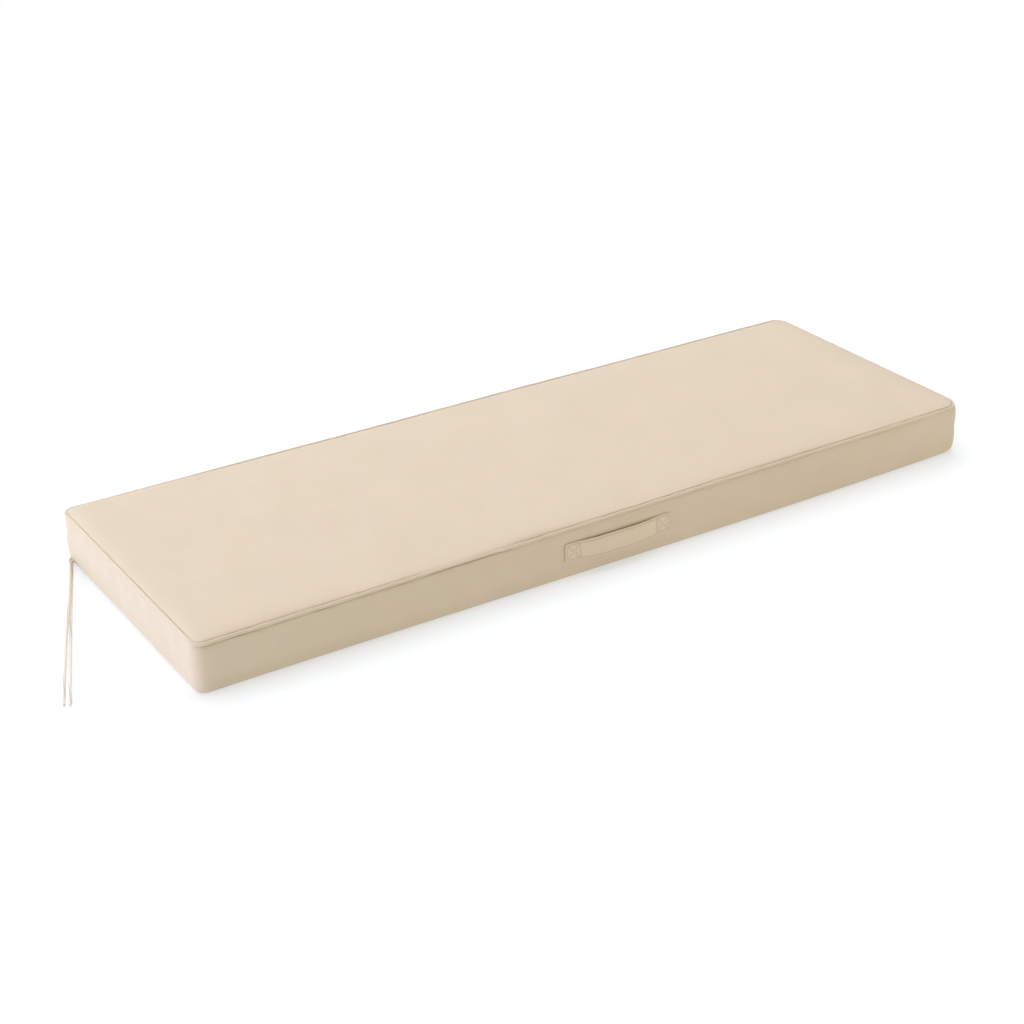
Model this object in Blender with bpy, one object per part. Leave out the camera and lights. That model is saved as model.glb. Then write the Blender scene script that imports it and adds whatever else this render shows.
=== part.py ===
"""Boxed bench cushion with a piped top edge, a carrying handle and one pair of corner ties.

Metres, +Z up. X runs along the cushion and the handle is on its -Y side. The sole rests flat on Z = 0,
and the origin is below the middle of the cushion with its handle.
"""
import math

import bmesh
import bpy
from mathutils import Vector

# ---- Driving dimensions, in metres ----
LENGTH = 1.372                  # between the seam lines of the two ends: a 54 in bench cushion
DEPTH = 0.457                   # between the seam lines of front and back: 18 in
SHIFT_Y = 0.00693               # moves the cushion so that the origin is under the middle of its box

CORNERS = {                     # height of the piping's middle over the floor, radius of the seam line
    "front left": (0.0770, 0.0150),
    "front right": (0.0815, 0.0280),
    "back left": (0.0775, 0.0160),
    "back right": (0.0800, 0.0210),
}
BOXING_CORNER = 0.0170          # the boxing's own corners are no rounder than this
SEAM_RIPPLE = 0.0005            # how far the seam line wanders up and down along a side

PIPING_RADIUS = 0.0027
PIPING_PROUD = 0.0004           # the piping's middle lies this far outside the seam line
GROOVE_RADIUS = 0.0032          # of the hollow that the two panels leave for the piping
GROOVE_ANGLES = (120, 150, 180, 210, 240)   # degrees, from straight out, over the top, to below

ROLL_WIDTH = 0.012              # the top panel rolls down to its seam over about this width
ROLL_RISE = 0.0042              # and by this much
CROWN = 0.0030                  # more height in the middle of the top panel
DIMPLES = (                     # slack in the top panel: size, waves along, waves across, start
    (0.0005, 2.6, 0.9, 0.4),
    (0.0004, 4.3, 1.6, 2.1),
    (0.0003, 7.1, 0.7, 4.4),
)

BOXING_ROWS = (                 # share of the seam's height, distance outside the seam line, corner filling
    (0.930, 0.0000, 0.25),
    (0.860, 0.0012, 0.70),
    (0.750, 0.0021, 1.00),
    (0.600, 0.0026, 1.00),
    (0.420, 0.0027, 1.00),
    (0.250, 0.0023, 1.00),
    (0.120, 0.0013, 1.00),
    (0.055, -0.0003, 0.90),
    (0.018, -0.0030, 0.60),
    (0.000, -0.0065, 0.30),
)
BELLY = 0.0050                  # how far the foot of the front boxing pushes out between the corners
BELLY_LEAN = 1.2                # and how much of that lies towards the right-hand end

FAR_STEPS = 0.065               # grid step over the middle of the top panel
EDGE_STATIONS = (0.0, 0.0042, 0.0105, 0.021, 0.036, 0.060, 0.105)    # grid lines, from the edge

HANDLE_LENGTH = 0.190
HANDLE_WIDTH = 0.0292
HANDLE_MIDDLE_X = -0.010
HANDLE_MIDDLE_Z = 0.0427
HANDLE_PATCH = 0.027            # length of the sewn square at each end
STRAP_THICKNESS = 0.0024
PATCH_THICKNESS = 0.0032        # the ends are folded under
HANDLE_THINNING = 0.004         # the strap thins from its folded end over this length
HANDLE_BOW_LOW = 0.0086         # the free middle's lower edge stands off the boxing by this much more
HANDLE_BOW_HIGH = 0.0064        # and its upper edge by this much
HANDLE_BOW_POWER = 3.2          # the bow is fuller than an arc
HANDLE_PULL = 0.0055            # the bow starts this far inside each sewn square
HANDLE_DROOP = 0.0005           # the free middle hangs this much lower
HANDLE_STEPS = 16               # sections along the free middle
HANDLE_SEAT = 0.0004            # between the strap and the boxing it is sewn to
STRAP_SIDES = (                 # outline of the strap's section: share of the width, of the thickness
    (0.05, 0.0), (0.50, 0.0), (0.95, 0.0), (1.00, 0.5),
    (0.95, 1.0), (0.50, 1.0), (0.05, 1.0), (0.00, 0.5),
)

TIE_RADIUS = 0.0022
TIE_SPACING = 0.0105            # between the points of a tie's tube

CORD_SIDES = 2                  # bevel resolution of a round cord: eight sides

# ---- Routes of the two ties: both leave the seam at the back left corner and lie on the floor ----
TIE_ROUTES = {
    "tie_right": [
        (-0.6869, 0.2141, 0.0024),
        (-0.6888, 0.2123, 0.0024),
        (-0.6904, 0.2097, 0.0024),
        (-0.6920, 0.2063, 0.0024),
        (-0.6946, 0.2000, 0.0024),
        (-0.6990, 0.1890, 0.0024),
        (-0.7070, 0.1695, 0.0024),
        (-0.7154, 0.1486, 0.0024),
        (-0.7238, 0.1281, 0.0024),
        (-0.7326, 0.1065, 0.0024),
        (-0.7430, 0.0810, 0.0024),
        (-0.7535, 0.0550, 0.0024),
        (-0.7640, 0.0292, 0.0024),
        (-0.7744, 0.0036, 0.0024),
        (-0.7844, -0.0210, 0.0024),
        (-0.7943, -0.0457, 0.0024),
        (-0.8039, -0.0696, 0.0024),
        (-0.8135, -0.0935, 0.0024),
        (-0.8228, -0.1168, 0.0024),
        (-0.8320, -0.1400, 0.0024),
        (-0.8364, -0.1512, 0.0024),
    ],
    "tie_left": [
        (-0.6888, 0.2158, 0.0074),
        (-0.6910, 0.2137, 0.0073),
        (-0.6928, 0.2107, 0.0073),
        (-0.6944, 0.2067, 0.0073),
        (-0.6968, 0.1990, 0.0073),
        (-0.7010, 0.1880, 0.0072),
        (-0.7087, 0.1690, 0.0071),
        (-0.7176, 0.1475, 0.0070),
        (-0.7270, 0.1255, 0.0068),
        (-0.7368, 0.1030, 0.0066),
        (-0.7480, 0.0775, 0.0062),
        (-0.7590, 0.0530, 0.0053),
        (-0.7696, 0.0300, 0.0040),
        (-0.7797, 0.0070, 0.0028),
        (-0.7900, -0.0175, 0.0024),
        (-0.8002, -0.0420, 0.0024),
        (-0.8102, -0.0656, 0.0024),
        (-0.8201, -0.0890, 0.0024),
        (-0.8297, -0.1119, 0.0024),
        (-0.8391, -0.1349, 0.0024),
        (-0.8445, -0.1480, 0.0024),
    ],
}

# ---- Finishes: base colour, roughness ----
FINISHES = {
    "cushion": ((0.74, 0.66, 0.55), 0.90),
    "piping": ((0.70, 0.62, 0.51), 0.88),
    "handle": ((0.66, 0.58, 0.46), 0.88),
    "tie": ((0.80, 0.75, 0.66), 0.85),
}

HALF_LENGTH = LENGTH/2
HALF_DEPTH = DEPTH/2


def clear_scene():
    for item in list(bpy.data.objects):
        bpy.data.objects.remove(item, do_unlink=True)


def finish(name):
    """One Principled material for each kind of piece."""
    colour, roughness = FINISHES[name]
    material = bpy.data.materials.new(name)
    material.use_nodes = True
    shader = material.node_tree.nodes["Principled BSDF"]
    shader.inputs["Base Color"].default_value = (*colour, 1.0)
    shader.inputs["Roughness"].default_value = roughness
    shader.inputs["Metallic"].default_value = 0.0
    return material


def add_object(name, data, material):
    item = bpy.data.objects.new(name, data)
    bpy.context.scene.collection.objects.link(item)
    data.materials.append(material)
    return item


def mesh_object(name, bm, material):
    """Turns a closed bmesh into a smooth-shaded object."""
    bmesh.ops.recalc_face_normals(bm, faces=bm.faces)
    mesh = bpy.data.meshes.new(name)
    bm.to_mesh(mesh)
    bm.free()
    mesh.shade_smooth()
    mesh.set_sharp_from_angle(angle=math.radians(50))
    return add_object(name, mesh, material)


# ---- The cushion's outline and heights; x and y are measured from the cushion's own middle ----
def stations(half):
    """Grid lines from -half to half, close together near both ends."""
    near = [half - step for step in EDGE_STATIONS]
    inner = near[-1]
    count = max(2, round(2*inner/FAR_STEPS))
    middle = [-inner + 2*inner*index/count for index in range(1, count)]
    return [-value for value in near] + middle + near[::-1]


def corner_radius(x, y):
    """Radius of the seam line at the corner nearest to a point."""
    name = ("back" if y > 0 else "front") + (" right" if x > 0 else " left")
    return CORNERS[name][1]


def past_straights(x, y):
    """How far a point lies beyond the ends of the straight sides, along X and along Y."""
    radius = corner_radius(x, y)
    past_x = max(abs(x) - (HALF_LENGTH - radius), 0.0)
    past_y = max(abs(y) - (HALF_DEPTH - radius), 0.0)
    return past_x, past_y, radius


def round_corner(x, y):
    """Moves a point of a corner's square into a quarter disc, so that the outline is round there."""
    past_x, past_y, radius = past_straights(x, y)
    new_x = abs(x) - past_x + past_x*math.sqrt(1 - (past_y/radius)**2/2)
    new_y = abs(y) - past_y + past_y*math.sqrt(1 - (past_x/radius)**2/2)
    return math.copysign(new_x, x), math.copysign(new_y, y)


def outward(x, y):
    """The outline's direction out, in plan, at a point on the seam line."""
    past_x, past_y, _ = past_straights(x, y)
    return Vector((math.copysign(past_x, x), math.copysign(past_y, y))).normalized()


def seam_height(x, y):
    """Height of the piping's middle: between the four corners' heights, with a slight ripple."""
    right = (x/HALF_LENGTH + 1)/2
    back = (y/HALF_DEPTH + 1)/2
    front_height = (1 - right)*CORNERS["front left"][0] + right*CORNERS["front right"][0]
    back_height = (1 - right)*CORNERS["back left"][0] + right*CORNERS["back right"][0]
    ripple = SEAM_RIPPLE*math.sin(9.0*x + 2.0*y)*math.cos(4.0*x)
    return (1 - back)*front_height + back*back_height + ripple


def panel_rise(x, y):
    """How far the top panel stands above its own seam: a roll along the edge and a slight crown."""
    roll = 1 - math.exp((abs(x) - HALF_LENGTH)/ROLL_WIDTH)
    roll *= 1 - math.exp((abs(y) - HALF_DEPTH)/ROLL_WIDTH)
    crown = (1 - (x/HALF_LENGTH)**4)*(1 - (y/HALF_DEPTH)**2)
    slack = 0.0
    for size, waves_along, waves_across, start in DIMPLES:
        along = math.sin(waves_along*math.pi*x/HALF_LENGTH + start)
        across = math.cos(waves_across*math.pi*y/HALF_DEPTH + start)
        slack += size*along*across
    return roll*(ROLL_RISE + slack) + CROWN*crown


def belly(x):
    """The front boxing's foot pushes out between the corners, more towards the right-hand end."""
    reach = min(max(x/HALF_LENGTH, -1.0), 1.0)
    return BELLY*(1 - reach**2)*(1 + BELLY_LEAN*reach)


def boxing_reach(share, x, y, out):
    """How far the boxing lies outside the seam line, at a share of the seam's height."""
    swell, filling = BOXING_ROWS[0][1:]
    for upper, lower in zip(BOXING_ROWS, BOXING_ROWS[1:]):
        if lower[0] <= share <= upper[0]:
            part = (share - lower[0])/(upper[0] - lower[0])
            swell = lower[1] + part*(upper[1] - lower[1])
            filling = lower[2] + part*(upper[2] - lower[2])
    loose = max(corner_radius(x, y) - BOXING_CORNER, 0.0)*(math.sqrt(2) - 1)
    at_corner = (2*out.x*out.y)**2
    at_front = max(-out.y, 0.0)
    return swell + filling*loose*at_corner + at_front*(1 - share)*belly(x)


def side_point(x, y, out, reach, height):
    """A point beside the seam line, in the part's frame."""
    return Vector((x + out.x*reach, y + out.y*reach + SHIFT_Y, height))


# ---- The pieces ----
def top_panel_grid(bm):
    """The crowned top panel, from the middle to the upper lip of the piping's groove."""
    lines_x = stations(HALF_LENGTH)
    lines_y = stations(HALF_DEPTH)
    steps_x = len(lines_x) - 1
    steps_y = len(lines_y) - 1
    bmesh.ops.create_grid(bm, x_segments=steps_x, y_segments=steps_y, size=1.0)
    lip = math.radians(GROOVE_ANGLES[0])
    lip_reach = PIPING_PROUD + GROOVE_RADIUS*math.cos(lip)
    lip_rise = GROOVE_RADIUS*math.sin(lip)
    rim = []
    for vert in bm.verts:
        flat_x = lines_x[round((vert.co.x + 1)/2*steps_x)]
        flat_y = lines_y[round((vert.co.y + 1)/2*steps_y)]
        x, y = round_corner(flat_x, flat_y)
        lip_height = seam_height(x, y) + lip_rise
        if vert.is_boundary:
            out = outward(x, y)
            vert.co = side_point(x, y, out, lip_reach, lip_height)
            rim.append((vert, x, y, out))
        else:
            vert.co = (x, y + SHIFT_Y, lip_height + panel_rise(flat_x, flat_y))
    return rim


def next_row(bm, rim, place):
    """Extrudes the open rim once and places each new vertex beside its own spot on the seam line."""
    edges = [edge for edge in bm.edges if edge.is_boundary]
    grown = bmesh.ops.extrude_edge_only(bm, edges=edges)["geom"]
    fresh = {item for item in grown if isinstance(item, bmesh.types.BMVert)}
    moved = []
    for vert, x, y, out in rim:
        partner = next(edge.other_vert(vert) for edge in vert.link_edges if edge.other_vert(vert) in fresh)
        partner.co = place(x, y, out)
        moved.append((partner, x, y, out))
    return moved


def make_cushion():
    """One filled solid: crowned top panel, piping groove, bowed boxing and a flat sole."""
    bm = bmesh.new()
    rim = top_panel_grid(bm)
    for degrees in GROOVE_ANGLES[1:]:
        reach = PIPING_PROUD + GROOVE_RADIUS*math.cos(math.radians(degrees))
        rise = GROOVE_RADIUS*math.sin(math.radians(degrees))
        rim = next_row(bm, rim, lambda x, y, out: side_point(x, y, out, reach, seam_height(x, y) + rise))
    for share, _, _ in BOXING_ROWS:
        rim = next_row(bm, rim, lambda x, y, out: side_point(
            x, y, out, boxing_reach(share, x, y, out), share*seam_height(x, y)))
    bmesh.ops.edgeloop_fill(bm, edges=[edge for edge in bm.edges if edge.is_boundary])
    return mesh_object("cushion", bm, finish("cushion"))


def seam_line():
    """Points round the seam line, in order, with the direction out at each."""
    lines_x = stations(HALF_LENGTH)
    lines_y = stations(HALF_DEPTH)
    front = [(x, -HALF_DEPTH) for x in lines_x[:-1]]
    right = [(HALF_LENGTH, y) for y in lines_y[:-1]]
    back = [(x, HALF_DEPTH) for x in lines_x[:0:-1]]
    left = [(-HALF_LENGTH, y) for y in lines_y[:0:-1]]
    points = [round_corner(x, y) for x, y in front + right + back + left]
    return [(x, y, outward(x, y)) for x, y in points]


def cord_object(name, points, radius, closed, material):
    """A round cord along a line of points, with filled ends where it is open."""
    curve = bpy.data.curves.new(name, "CURVE")
    curve.dimensions = "3D"
    curve.twist_mode = "Z_UP"
    curve.bevel_depth = radius
    curve.bevel_resolution = CORD_SIDES
    curve.use_fill_caps = not closed
    spline = curve.splines.new("POLY")
    spline.points.add(len(points) - 1)
    for slot, point in zip(spline.points, points):
        slot.co = (*point, 1.0)
    spline.use_cyclic_u = closed
    spline.use_smooth = True
    return add_object(name, curve, material)


def make_piping():
    """The covered cord sewn into the seam between the top panel and the boxing."""
    points = [side_point(x, y, out, PIPING_PROUD, seam_height(x, y)) for x, y, out in seam_line()]
    return cord_object("piping", points, PIPING_RADIUS, True, finish("piping"))


def strap_section(x, rise, thickness):
    """One section of the strap: its inner side follows the boxing, and its edges are rounded."""
    front = Vector((0.0, -1.0))
    low = HANDLE_MIDDLE_Z - HANDLE_WIDTH/2
    section = []
    for across, through in STRAP_SIDES:
        z = low + across*HANDLE_WIDTH
        reach = boxing_reach(z/seam_height(x, -HALF_DEPTH), x, -HALF_DEPTH, front)
        lift = rise*(HANDLE_BOW_LOW + across*(HANDLE_BOW_HIGH - HANDLE_BOW_LOW))
        reach += HANDLE_SEAT + lift + through*thickness
        section.append(side_point(x, -HALF_DEPTH, front, reach, z - rise*HANDLE_DROOP))
    return section


def make_handle():
    """A strap sewn down in a square at each end, with a free middle that fingers go behind."""
    half = HANDLE_LENGTH/2
    free = half - HANDLE_PATCH
    sewn = [free, free + HANDLE_THINNING, free + HANDLE_PATCH/2, half - HANDLE_THINNING, half]
    places = [-place for place in sewn[::-1]]
    places += [free*(2*step/HANDLE_STEPS - 1) for step in range(1, HANDLE_STEPS)]
    places += sewn
    bm = bmesh.new()
    rings = []
    for place in places:
        rise = max(0.0, 1 - abs(place/(free + HANDLE_PULL))**HANDLE_BOW_POWER)
        thickness = PATCH_THICKNESS if abs(place) > free else STRAP_THICKNESS
        section = strap_section(HANDLE_MIDDLE_X + place, rise, thickness)
        rings.append([bm.verts.new(point) for point in section])
    for ring, following in zip(rings, rings[1:]):
        for index in range(len(ring)):
            after = (index + 1) % len(ring)
            bm.faces.new((ring[index], ring[after], following[after], following[index]))
    bm.faces.new(rings[0])
    bm.faces.new(rings[-1])
    return mesh_object("handle", bm, finish("handle"))


def smooth_route(points, spacing):
    """Reads a smooth curve through the route's points (Catmull-Rom) at even steps."""
    knots = [Vector(point) for point in points]
    knots = [2*knots[0] - knots[1]] + knots + [2*knots[-1] - knots[-2]]
    fine = []
    for before, start, end, after in zip(knots, knots[1:], knots[2:], knots[3:]):
        for step in range(12):
            t = step/12
            fine.append(0.5*(2*start + (end - before)*t + (2*before - 5*start + 4*end - after)*t**2
                             + (3*start - before - 3*end + after)*t**3))
    fine.append(knots[-2])
    length = sum((b - a).length for a, b in zip(fine, fine[1:]))
    count = round(length/spacing)
    even = [fine[0]]
    travelled = 0.0
    for a, b in zip(fine, fine[1:]):
        leg = (b - a).length
        while len(even) < count and travelled + leg >= length*len(even)/count:
            even.append(a.lerp(b, (length*len(even)/count - travelled)/leg))
        travelled += leg
    return even + [fine[-1]]


def make_ties():
    """The two narrow tails that fasten the cushion to a bench."""
    material = finish("tie")
    for name, route in TIE_ROUTES.items():
        cord_object(name, smooth_route(route, TIE_SPACING), TIE_RADIUS, False, material)


clear_scene()
make_cushion()
make_piping()
make_handle()
make_ties()
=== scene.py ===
# Looks of the boxed bench cushion: cover cloth, piping, carrying strap and corner tails on a white floor.
from math import cos, hypot, pi, radians, sin, sqrt

import bpy
import numpy as np
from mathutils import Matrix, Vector


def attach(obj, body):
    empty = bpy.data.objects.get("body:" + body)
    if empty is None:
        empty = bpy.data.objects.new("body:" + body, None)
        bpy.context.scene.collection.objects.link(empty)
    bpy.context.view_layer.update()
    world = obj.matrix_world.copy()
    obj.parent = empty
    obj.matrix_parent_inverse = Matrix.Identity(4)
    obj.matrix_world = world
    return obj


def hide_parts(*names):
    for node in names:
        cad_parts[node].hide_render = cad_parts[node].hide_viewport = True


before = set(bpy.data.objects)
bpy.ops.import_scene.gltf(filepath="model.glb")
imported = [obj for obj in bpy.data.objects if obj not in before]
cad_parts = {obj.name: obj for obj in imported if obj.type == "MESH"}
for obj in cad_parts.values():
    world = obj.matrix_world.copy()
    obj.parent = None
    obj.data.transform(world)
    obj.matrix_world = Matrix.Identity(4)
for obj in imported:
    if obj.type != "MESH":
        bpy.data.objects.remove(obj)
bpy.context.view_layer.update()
print("frame loaded:", ", ".join(sorted(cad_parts)))

mm = 0.001

# the camera stands to the left of the cushion's front side and looks down on it
camera = dict(
    place=(-1.5138, -2.2366, 1.3840),
    yaw=33.226,             # degrees, from straight ahead towards the right
    pitch=27.42,            # degrees, down
    focalPixels=1927.1,
    framePixels=1024,
    sensorWidth=36,         # mm
    near=0.05,
    far=80,
)


def addObject(name, data):
    item = bpy.data.objects.new(name, data)
    bpy.context.scene.collection.objects.link(item)
    return item


def addCamera(values=camera):
    data = bpy.data.cameras.new("camera")
    data.sensor_width = values["sensorWidth"]
    data.lens = values["focalPixels"]/values["framePixels"]*values["sensorWidth"]
    data.clip_start = values["near"]
    data.clip_end = values["far"]
    item = addObject("camera", data)
    item.location = values["place"]
    item.rotation_euler = (radians(90 - values["pitch"]), 0, -radians(values["yaw"]))
    bpy.context.scene.camera = item


addCamera()


# shader sums: a wire is one output socket, and an expression on wires adds its nodes
class Wire:
    def __init__(self, tree, socket=None):
        self.tree = tree
        self.socket = socket

    # settings are set first; inputs are values or wires, by a socket's name or number
    def node(self, kind, settings={}, inputs={}, output=0):
        made = self.tree.nodes.new(kind)
        for name, value in settings.items():
            setattr(made, name, value)
        self.feed(made, inputs)
        return Wire(self.tree, made.outputs[output])

    def feed(self, target, inputs):
        for key, value in inputs.items():
            if isinstance(value, Wire):
                self.tree.links.new(value.socket, target.inputs[key])
            else:
                target.inputs[key].default_value = value

    def maths(self, operation, *values):
        return self.node("ShaderNodeMath", dict(operation=operation), dict(enumerate(values)))

    def __add__(self, other):
        return self.maths("ADD", self, other)

    def __sub__(self, other):
        return self.maths("SUBTRACT", self, other)

    def __rsub__(self, other):
        return self.maths("SUBTRACT", other, self)

    def __mul__(self, other):
        return self.maths("MULTIPLY", self, other)

    def __pow__(self, other):
        return self.maths("POWER", self, other)

    def __abs__(self):
        return self.maths("ABSOLUTE", self)

    __radd__ = __add__
    __rmul__ = __mul__

    def sine(self):
        return self.maths("SINE", self)

    def sign(self):
        return self.maths("SIGN", self)

    # one part of a vector: 0, 1 or 2
    def part(self, index):
        return self.node("ShaderNodeSeparateXYZ", {}, {"Vector": self}, index)

    # this number as the first part of a vector, with a second one
    def beside(self, second):
        return self.node("ShaderNodeCombineXYZ", {}, {"X": self, "Y": second})

    # soft noise about zero over a vector, so many lumps to its unit
    def noise(self, lumps, detail=2.0, rough=0.55):
        inputs = {"Vector": self, "Scale": lumps, "Detail": detail, "Roughness": rough}
        return self.node("ShaderNodeTexNoise", {}, inputs) - 0.5

    # a fixed colour, made lighter or darker by this number
    def shadeOf(self, colour):
        return self.node("ShaderNodeVectorMath", dict(operation="SCALE"), {0: colour, "Scale": self})

    # this number as a relief on the surface
    def bump(self, values):
        inputs = {"Height": self, "Distance": values["relief"], "Strength": values["reliefStrength"]}
        return self.node("ShaderNodeBump", {}, inputs)


def newMaterial(name):
    material = bpy.data.materials.new(name)
    material.use_nodes = True
    tree = material.node_tree
    return material, tree.nodes["Principled BSDF"], Wire(tree)


# one bolt of cloth makes the whole cushion; colours are linear, as the cloth looks in white light
weave = dict(
    pitch=0.62*mm,          # between neighbouring threads
    wander=0.10*mm,         # how far threads stray sideways
    wanderLength=9*mm,
    detail=3.0,             # of the slow changes
    threadShade=0.05,       # threads on top against threads below
    slubShade=0.10,         # thick and thin stretches of a thread
    slubAcross=0.9*mm,
    slubAlong=26*mm,
    mottleShade=0.035,      # slow changes over a hand's breadth
    mottleLength=95*mm,
    creaseShade=0.35,       # painted shade: how much darker the cloth is painted in a seam's depth
    relief=0.16*mm,
    reliefStrength=0.45,
    reliefPower=0.7,        # below one, threads have broad tops
    slubRelief=0.8,         # height of a thick stretch, in threads
    roughness=0.88,
    slubRoughness=0.10,
    sheen=0.10,
    sheenRoughness=0.5,
    gloss=0.25,
)
cloths = dict(
    cover=dict(colour=(0.728, 0.628, 0.506), turned=0),
    welt=dict(colour=(0.728, 0.628, 0.506), turned=45),     # piping is cut on the bias
    # painted light: the cover's cloth, painted lighter, as the strap's face catches more light
    strap=dict(colour=(0.780, 0.671, 0.541), turned=0),
    tail=dict(colour=(0.80, 0.745, 0.66), turned=0),
)


# plain weave: the product of two sines, above zero where the warp is on top and below where the weft is;
# its size is the threads' height, and long thin noise along whichever thread is on top makes the slubs
def clothMaterial(name, colour, turned, values=weave):
    material, shader, start = newMaterial(name + " cloth")
    onCloth = start.node("ShaderNodeUVMap", dict(uv_map="weave"))
    laid = start.node("ShaderNodeMapping", {}, {"Vector": onCloth, "Rotation": (0, 0, radians(turned))})
    stray = laid.noise(1/values["wanderLength"], values["detail"])*values["wander"]
    along = laid.part(0) + stray
    across = laid.part(1) - stray
    crossing = (along*(pi/values["pitch"])).sine()*(across*(pi/values["pitch"])).sine()
    warpOnTop = crossing.sign()*0.5 + 0.5
    fine = 1/values["slubAcross"]
    long = 1/values["slubAlong"]
    warpSlub = (along*fine).beside(across*long).noise(1.0)
    weftSlub = (along*long).beside(across*fine).noise(1.0)
    slub = warpSlub*warpOnTop + weftSlub*(1 - warpOnTop)
    inSpace = start.node("ShaderNodeTexCoord", output=3)
    mottle = inSpace.noise(1/values["mottleLength"], values["detail"])
    # painted shade: the cloth is painted darker in seams, stitch channels and grooves, towards the foot and
    # by the tails' roots
    paintedShade = start.node("ShaderNodeAttribute", dict(attribute_name="paintedShade"), output=2)
    shade = 1 + crossing*values["threadShade"] + slub*values["slubShade"] + mottle*(2*values["mottleShade"])
    shade = shade*(1 - paintedShade*values["creaseShade"])
    height = abs(crossing)**values["reliefPower"] + slub*values["slubRelief"]
    start.feed(shader, {
        "Base Color": shade.shadeOf(colour),
        "Roughness": values["roughness"] + slub*values["slubRoughness"],
        "Normal": height.bump(values),
        "Sheen Weight": values["sheen"],
        "Sheen Roughness": values["sheenRoughness"],
        "Specular IOR Level": values["gloss"],
    })
    return material


thread = dict(
    colour=(0.66, 0.57, 0.45),
    twist=0.9*mm,           # one turn of the thread's plies
    plyShade=0.16,
    relief=0.06*mm,
    reliefStrength=0.5,
    roughness=0.6,
    gloss=0.35,
)


# two plies wound round each other: slanting stripes, a sine of the length along the thread plus its turn;
# the stripes are painted shade, darker in the grooves between the plies and lighter on their crowns
def threadMaterial(values=thread):
    material, shader, start = newMaterial("sewing thread")
    onThread = start.node("ShaderNodeUVMap", dict(uv_map="weave"))
    ply = (onThread.part(0)*(2*pi/values["twist"]) + onThread.part(1)).sine()
    start.feed(shader, {
        "Base Color": (1 + ply*values["plyShade"]).shadeOf(values["colour"]),
        "Roughness": values["roughness"],
        "Normal": ply.bump(values),
        "Specular IOR Level": values["gloss"],
    })
    return material


materials = {name: clothMaterial(name, **values) for name, values in cloths.items()}
materials["thread"] = threadMaterial()
print("cloth mixed")


# quads over a grid of points, and for each quad's corners their places in a cloth grid,
# which is one column wider where the points go round in a loop
def gridFaces(rows, cols, loopRows=False, loopCols=False):
    down = np.arange(rows if loopRows else rows - 1)[:, None]
    over = np.arange(cols if loopCols else cols - 1)[None, :]
    nextDown = (down + 1) % rows
    nextOver = (over + 1) % cols
    faces = [down*cols + over, down*cols + nextOver, nextDown*cols + nextOver, nextDown*cols + over]
    wide = cols + 1 if loopCols else cols
    corners = [down*wide + over, down*wide + over + 1, (down + 1)*wide + over + 1, (down + 1)*wide + over]
    return (np.stack(np.broadcast_arrays(*part), -1).reshape(-1, 4) for part in (faces, corners))


# cloth holds, for each face corner in order, its place on the flat cloth in metres;
# the painted shade is one in the depth of a seam
def makePiece(name, points, faces, cloth, paintedShade, material, node):
    mesh = bpy.data.meshes.new(name)
    mesh.from_pydata(points.reshape(-1, 3).tolist(), [], [list(face) for face in faces])
    mesh.uv_layers.new(name="weave").data.foreach_set("uv", np.asarray(cloth, np.float32).ravel())
    darker = mesh.attributes.new("paintedShade", "FLOAT", "POINT")
    darker.data.foreach_set("value", np.asarray(paintedShade, np.float32).ravel())
    mesh.shade_smooth()
    mesh.materials.append(material)
    item = addObject(name, mesh)
    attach(item, "root")
    if node:
        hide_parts(node)
    return item


# a sum of waves with lengths between two limits, in directions all round, of size about one
def softNoise(x, y, seed, shortest, longest, waves=18):
    draw = np.random.default_rng(seed)
    total = 0.0
    for _ in range(waves):
        wave = shortest*(longest/shortest)**draw.random()
        turn = draw.random()*2*pi
        shift = draw.random()*2*pi
        total = total + np.sin((x*cos(turn) + y*sin(turn))*2*pi/wave + shift)
    return total/sqrt(waves/2)


# a smooth step from 0 to 1 between two places
def easeIn(value, low, high):
    t = np.clip((value - low)/(high - low), 0, 1)
    return t*t*(3 - 2*t)


def runAlong(path):
    return np.concatenate([[0], np.cumsum(np.linalg.norm(np.diff(path, axis=0), axis=1))])


# even points on a smooth curve through the route's points (Catmull-Rom)
def smoothRoute(route, spacing, fineSteps=24):
    knots = np.array(route, float)
    knots = np.vstack([2*knots[0] - knots[1], knots, 2*knots[-1] - knots[-2]])
    t = np.arange(fineSteps)[:, None]/fineSteps
    before, begin, end, after = (knots[shift:len(knots) - 3 + shift][:, None] for shift in range(4))
    fine = 0.5*(2*begin + (end - before)*t + (2*before - 5*begin + 4*end - after)*t**2
                + (3*begin - before - 3*end + after)*t**3)
    fine = np.vstack([fine.reshape(-1, 3), knots[-2]])
    run = runAlong(fine)
    even = np.linspace(0, run[-1], round(run[-1]/spacing) + 1)
    return np.stack([np.interp(even, run, fine[:, axis]) for axis in range(3)], -1), even


def unit(vectors):
    return vectors/np.linalg.norm(vectors, axis=-1, keepdims=True)


# the angles of a section's points, once round
def onceRound(sides):
    return np.linspace(0, 2*pi, sides, endpoint=False)[None, :]


# a section carried along a path: side and rise are its points, level and upwards, a row for each path point
def carried(path, side, rise, closed=False):
    ahead = np.roll(path, -1, 0) - np.roll(path, 1, 0) if closed else np.gradient(path, axis=0)
    sideways = unit(np.cross(ahead, (0, 0, 1)))
    upward = unit(np.cross(sideways, ahead))
    return path[:, None] + sideways[:, None]*side[..., None] + upward[:, None]*rise[..., None]


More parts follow.
